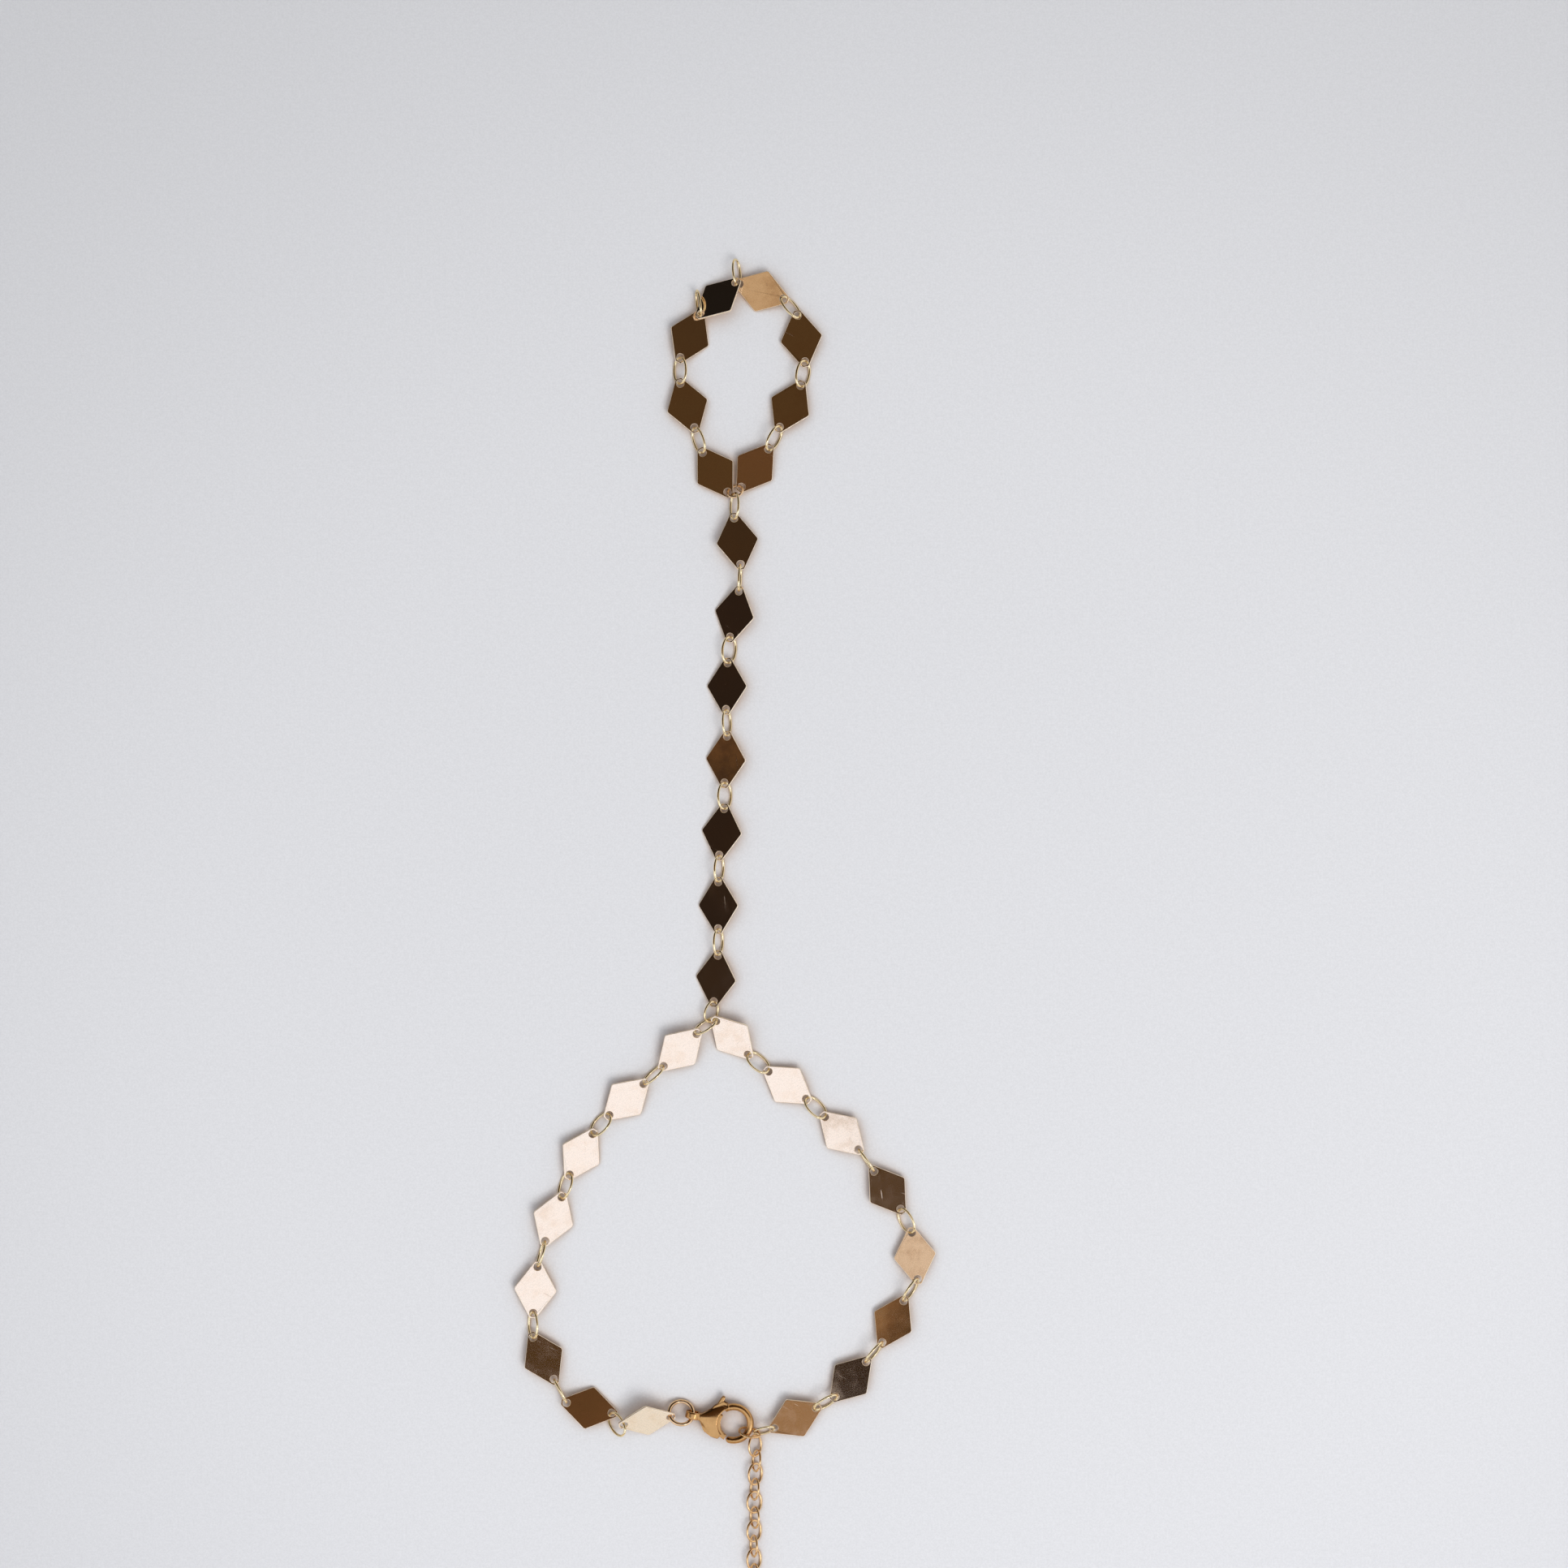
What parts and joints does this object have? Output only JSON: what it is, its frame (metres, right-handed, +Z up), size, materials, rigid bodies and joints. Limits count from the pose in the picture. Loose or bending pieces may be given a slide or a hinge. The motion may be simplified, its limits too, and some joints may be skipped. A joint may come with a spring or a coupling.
{
  "type": "hand chain bracelet",
  "caption": "Gold-coloured hand chain bracelet of thin diamond plates on oval links, with a finger loop, a hand strand, a wrist loop, a lobster clasp and an extender chain.",
  "frame": {"origin": "middle of the laid-out bracelet's footprint, on the floor it lies on", "axes": "+Y from the extender towards the finger loop, +Z up out of the floor"},
  "size_m": [0.0517, 0.1649, 0.0034],
  "materials": {
    "plates": "polished, gold-plated",
    "links": "polished, gold-plated wire",
    "clasp": "polished, gold-plated"
  },
  "bodies": {
    "bracelet": {"finger_plate_1": "plates", "finger_plate_2": "plates", "finger_plate_3": "plates", "finger_plate_4": "plates", "finger_plate_5": "plates", "finger_plate_6": "plates", "finger_plate_7": "plates", "finger_plate_8": "plates", "hand_plate_1": "plates", "hand_plate_2": "plates", "hand_plate_3": "plates", "hand_plate_4": "plates", "hand_plate_5": "plates", "hand_plate_6": "plates", "hand_plate_7": "plates", "wrist_plate_left_1": "plates", "wrist_plate_left_2": "plates", "wrist_plate_left_3": "plates", "wrist_plate_left_4": "plates", "wrist_plate_left_5": "plates", "wrist_plate_left_6": "plates", "wrist_plate_left_7": "plates", "wrist_plate_left_8": "plates", "wrist_plate_right_1": "plates", "wrist_plate_right_2": "plates", "wrist_plate_right_3": "plates", "wrist_plate_right_4": "plates", "wrist_plate_right_5": "plates", "wrist_plate_right_6": "plates", "wrist_plate_right_7": "plates", "wrist_plate_right_8": "plates", "finger_loop_links": "links", "junction_ring": "links", "hand_strand_links": "links", "bridge_link": "links", "wrist_links_left": "links", "wrist_links_right": "links", "clasp_jump_ring": "links", "clasp_body": "clasp", "clasp_link": "links", "end_link": "links", "extender_chain": "links"},
    "lever": {"clasp_lever": "clasp"}
  },
  "joints": [
    {"name": "lever_swing", "type": "hinge", "parent": "bracelet", "child": "lever", "pos_m": [-0.00159, -0.05985, 0.00102], "axis": [0, 0, 1], "range_deg": [0, 15], "stiffness_Nm_per_rad": 0.0005}
  ]
}
